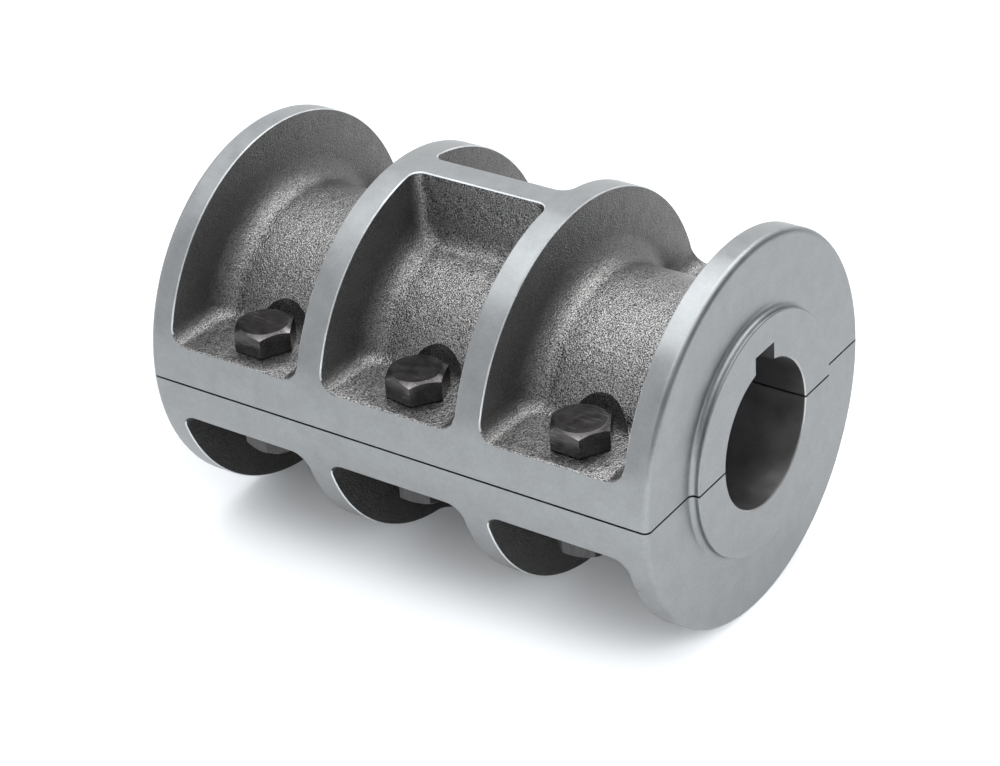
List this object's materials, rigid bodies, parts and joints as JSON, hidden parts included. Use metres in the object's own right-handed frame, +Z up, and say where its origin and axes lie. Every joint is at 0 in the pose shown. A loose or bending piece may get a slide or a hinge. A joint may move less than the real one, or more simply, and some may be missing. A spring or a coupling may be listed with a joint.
{
  "type": "ribbed shaft coupling",
  "caption": "Rigid split shaft coupling: two ribbed cast halves with a keyed bore, drawn together by hex bolts and nuts along both sides.",
  "frame": {"origin": "on the bore axis, half way along the coupling, on the plane between the halves", "axes": "+X along the bore, +Z up through the keyway, -Y towards the front row of bolts"},
  "size_m": [0.223, 0.146, 0.146],
  "materials": {
    "cast_iron": "turned satin outside, bore and ends; rough as cast in the pockets",
    "black_bolt": "black oxide",
    "plain_nut": "plain steel, lightly oiled"
  },
  "bodies": {
    "root": {"upper_half": "cast_iron", "lower_half": "cast_iron", "front_bolt_1": "black_bolt", "front_nut_1": "plain_nut", "front_bolt_2": "black_bolt", "front_nut_2": "plain_nut", "front_bolt_3": "black_bolt", "front_nut_3": "plain_nut", "rear_bolt_1": "black_bolt", "rear_nut_1": "plain_nut", "rear_bolt_2": "black_bolt", "rear_nut_2": "plain_nut", "rear_bolt_3": "black_bolt", "rear_nut_3": "plain_nut"}
  },
  "joints": []
}
